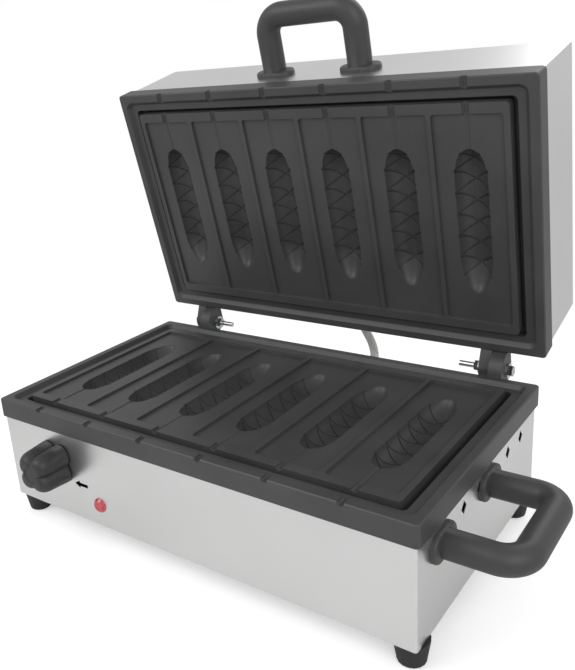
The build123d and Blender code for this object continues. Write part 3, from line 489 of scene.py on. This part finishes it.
def handle_mesh():
    """Smooth grab handle with an oblong foot under each leg."""
    bend = HANDLE_HALF_SPAN - HANDLE_BEND
    top = HANDLE_REACH - HANDLE_BEND
    stations = [(-HANDLE_HALF_SPAN, 0.0, pi)]
    for start, middle in ((pi, -bend), (pi / 2, bend)):
        for step in range(HANDLE_BEND_STEPS + 1):
            angle = start - pi / 2 * step / HANDLE_BEND_STEPS
            stations.append((middle + HANDLE_BEND * cos(angle), top + HANDLE_BEND * sin(angle), angle))
    stations.append((HANDLE_HALF_SPAN, 0.0, 0.0))
    shape = bmesh.new()
    rings = []
    for x, z, angle in stations:
        ring = []
        for step in range(HANDLE_SIDES):
            turn = 2 * pi * step / HANDLE_SIDES
            out = HANDLE_RADIUS * cos(turn)
            corner = (x + out * cos(angle), HANDLE_RADIUS * sin(turn), z + out * sin(angle))
            ring.append(shape.verts.new(corner))
        rings.append(ring)
    skin(shape, rings)
    grip = to_mesh(shape, "grip", True)
    for side in (-1, 1):
        grip = combine(grip, foot_pad(side * HANDLE_HALF_SPAN), "UNION")
    return grip


def foot_pad(middle):
    """Oblong foot of a handle with a rounded upper edge."""
    length, width, height = HANDLE_FOOT
    straight = length - width
    shape = bmesh.new()
    rings = []
    for inset, rise in HANDLE_FOOT_RINGS:
        radius = width - inset * height
        ring = []
        for step in range(HANDLE_FOOT_SIDES):
            angle = 2 * pi * (step + 0.5) / HANDLE_FOOT_SIDES
            shift = straight if cos(angle) > 0 else -straight
            corner = (middle + shift + radius * cos(angle), radius * sin(angle), rise * height)
            ring.append(shape.verts.new(corner))
        rings.append(ring)
    skin(shape, rings)
    return to_mesh(shape, "foot_pad", True)


def lobe_radius(angle):
    """Distance from the axis to the clover's edge."""
    away = abs((angle % (pi / 2)) - pi / 4)
    return LOBE_AWAY * cos(away) + sqrt(LOBE_RADIUS**2 - (LOBE_AWAY * sin(away)) ** 2)


def finished_knob():
    """Smooth clover knob with a large rounded front edge, and a recess and a bore in its back."""
    shape = bmesh.new()
    rings = [round_ring(shape, radius, rise, KNOB_SIDES) for radius, rise in KNOB_BACK]
    for inset, rise in KNOB_STATIONS:
        ring = []
        for step in range(KNOB_SIDES):
            angle = 2 * pi * step / KNOB_SIDES
            radius = lobe_radius(angle) * (1 - KNOB_TAPER * rise / KNOB_HEIGHT) - inset
            ring.append(shape.verts.new((radius * sin(angle), rise, radius * cos(angle))))
        rings.append(ring)
    rings += [round_ring(shape, radius, rise, KNOB_SIDES) for radius, rise in KNOB_DISH]
    skin(shape, rings)
    mesh = to_mesh(shape, "knob", True)
    middle = (KNOB[0] + KNOB[1]) / 2
    mesh.transform(Matrix.Translation((middle.x, KNOB[1].y, middle.z)) @ Matrix.Diagonal((1, -1, 1, 1)))
    mesh.flip_normals()
    material = soften(moulded("knob_moulding", (0.024, 0.024, 0.024), 0.40, 0.52), 0.0005)
    knob = new_piece("knob_finish", mesh, "knob", material, 45)
    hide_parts("thermostat_knob")


def finished_handles():
    """Both grab handles, smooth all round."""
    material = soften(moulded("handle_moulding", (0.040, 0.040, 0.041), 0.42, 0.52), 0.0006)
    side_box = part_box("side_handle")
    middle_y = (side_box[0].y + side_box[1].y) / 2
    middle_z = (side_box[0].z + side_box[1].z) / 2
    sideways = Matrix(((0, 0, 1), (1, 0, 0), (0, 1, 0))).to_4x4()
    side = Matrix.Translation((side_box[0].x, middle_y, middle_z)) @ sideways
    front = Matrix.Translation((0, FRONT_Y, LID_HANDLE_DROP)) @ Matrix.Rotation(pi / 2, 4, "X")
    for name, body, place in (("side_handle", "base", side), ("lid_handle", "lid", TO_LID @ front)):
        mesh = copies(handle_mesh(), [place])
        handle = new_piece(name + "_finish", mesh, body, material, 40)
        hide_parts(name)


def lead():
    """Sleeved lead from the base to the lid, loose behind the hinge."""
    curve = bpy.data.curves.new("lead_line", "CURVE")
    curve.dimensions = "3D"
    spline = curve.splines.new("NURBS")
    spline.points.add(len(LEAD_ROUTE) - 1)
    for point, place in zip(spline.points, LEAD_ROUTE):
        point.co = (*place, 1)
    spline.order_u = 3
    spline.use_endpoint_u = True
    spline.resolution_u = 24
    holder = bpy.data.objects.new("lead_line", curve)
    bpy.context.collection.objects.link(holder)
    line = evaluated_mesh(holder)
    curve.bevel_depth = LEAD_RADIUS
    curve.bevel_resolution = 8
    curve.use_fill_caps = True
    tube = evaluated_mesh(holder)
    bpy.data.objects.remove(holder)
    piece = new_piece("lead_sleeve", tube, None, braided("sleeve_braid", (0.60, 0.60, 0.58)), 40)
    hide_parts("lid_lead")
    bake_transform(piece)


def arrow_print():
    """Small printed arrow that points at the knob."""
    tip = Vector((KNOB[1][0] + ARROW_GAP, 0, ARROW_HEIGHT))
    outline = list(ARROW_EDGE)
    outline += [(along, -across) for along, across in reversed(outline[1:])]
    mesh = bpy.data.meshes.new("knob_arrow")
    shape = bmesh.new()
    front = FRONT_Y - ARROW_LIFT
    corners = [shape.verts.new((tip.x + along, front, tip.z + across)) for along, across in outline]
    shape.faces.new(corners)
    bmesh.ops.solidify(shape, geom=shape.faces[:], thickness=ARROW_LIFT / 2)
    shape.to_mesh(mesh)
    shape.free()
    ink = moulded("black_print", (0.012, 0.012, 0.012), 0.4, 0.5)
    new_piece("knob_arrow", mesh, "base", ink)


def make_camera():
    """Camera at the photograph's place and view."""
    data = bpy.data.cameras.new("photo_camera")
    data.sensor_width = 36
    data.lens = CAMERA_LENS
    data.shift_x, data.shift_y = CAMERA_SHIFT
    data.clip_start = 0.01
    data.clip_end = 30
    camera = bpy.data.objects.new("photo_camera", data)
    axes = Matrix((CAMERA_RIGHT, CAMERA_UP, -CAMERA_FORWARD)).transposed()
    camera.matrix_world = Matrix.Translation(CAMERA_PLACE) @ axes.to_4x4()
    bpy.context.collection.objects.link(camera)
    bpy.context.scene.camera = camera


def make_floor():
    """Plain floor that reads white to the camera and keeps a soft shadow round the object."""
    mesh = bpy.data.meshes.new("floor")
    half = FLOOR_HALF
    corners = [(-half, -half, 0), (half, -half, 0), (half, half, 0), (-half, half, 0)]
    mesh.from_pydata(corners, [], [(0, 1, 2, 3)])
    floor = bpy.data.objects.new("floor", mesh)
    bpy.context.collection.objects.link(floor)
    material, shader = make_material("floor_white")
    shader.inputs["Base Color"].default_value = (0.8, 0.8, 0.8, 1)
    shader.inputs["Roughness"].default_value = 0.9
    shader.inputs["Specular IOR Level"].default_value = 0.1
    path = add_node(material, "ShaderNodeLightPath")
    glow = add_node(material, "ShaderNodeEmission")
    seen = path.outputs["Is Camera Ray"]
    link(material, spread(material, seen, 0.0, 0.42), glow.inputs["Strength"])
    both = add_node(material, "ShaderNodeAddShader")
    link(material, shader.outputs["BSDF"], both.inputs[0])
    link(material, glow.outputs["Emission"], both.inputs[1])
    white = add_node(material, "ShaderNodeEmission")
    link(material, spread(material, seen, 0.6, 1.0), white.inputs["Strength"])
    coordinates = add_node(material, "ShaderNodeTexCoord")
    distance = add_node(material, "ShaderNodeVectorMath")
    distance.operation = "LENGTH"
    link(material, coordinates.outputs["Object"], distance.inputs[0])
    far = add_node(material, "ShaderNodeMapRange")
    far.interpolation_type = "SMOOTHSTEP"
    far.inputs["From Min"].default_value, far.inputs["From Max"].default_value = FLOOR_FADE
    link(material, distance.outputs["Value"], far.inputs["Value"])
    fade = add_node(material, "ShaderNodeMixShader")
    link(material, far.outputs["Result"], fade.inputs["Fac"])
    link(material, both.outputs["Shader"], fade.inputs[1])
    link(material, white.outputs["Emission"], fade.inputs[2])
    output = material.node_tree.nodes["Material Output"]
    link(material, fade.outputs["Shader"], output.inputs["Surface"])
    mesh.materials.append(material)


def make_card():
    """Grey card to the right that the side panels reflect and the camera doesn't see."""
    mesh = bpy.data.meshes.new("grey_card")
    mesh.from_pydata(CARD_CORNERS, [], [(0, 1, 2, 3)])
    card = bpy.data.objects.new("grey_card", mesh)
    bpy.context.collection.objects.link(card)
    material, shader = make_material("card_grey")
    shader.inputs["Base Color"].default_value = (0.3, 0.3, 0.3, 1)
    shader.inputs["Emission Color"].default_value = (1, 1, 1, 1)
    shader.inputs["Emission Strength"].default_value = 0.5
    mesh.materials.append(material)
    card.visible_camera = False
    card.visible_shadow = False


def make_world():
    """Surroundings that are white to the camera, and darker as light and in reflections."""
    world = bpy.data.worlds.new("studio")
    bpy.context.scene.world = world
    world.use_nodes = True
    tree = world.node_tree
    background = tree.nodes["Background"]
    background.inputs["Color"].default_value = (1, 1, 1, 1)
    path = tree.nodes.new("ShaderNodeLightPath")
    level = tree.nodes.new("ShaderNodeMapRange")
    level.inputs["To Min"].default_value = 0.66
    level.inputs["To Max"].default_value = 1.0
    tree.links.new(path.outputs["Is Camera Ray"], level.inputs["Value"])
    tree.links.new(level.outputs["Result"], background.inputs["Strength"])


def add_lamp(name, place, target, size, power):
    """Soft square lamp that looks at a target."""
    data = bpy.data.lights.new(name, "AREA")
    data.shape = "SQUARE"
    data.size = size
    data.energy = power
    lamp = bpy.data.objects.new(name, data)
    lamp.location = place
    lamp.rotation_euler = (Vector(target) - Vector(place)).to_track_quat("-Z", "Y").to_euler()
    bpy.context.collection.objects.link(lamp)


def make_lamps():
    """Key, fill and rear lamp."""
    for lamp in LAMPS:
        add_lamp(*lamp)


bpy.context.scene.view_settings.view_transform = "Standard"
make_camera()
dress_frame()
lead()
finished_plates()
finished_handles()
finished_knob()
arrow_print()
make_floor()
make_card()
make_world()
make_lamps()
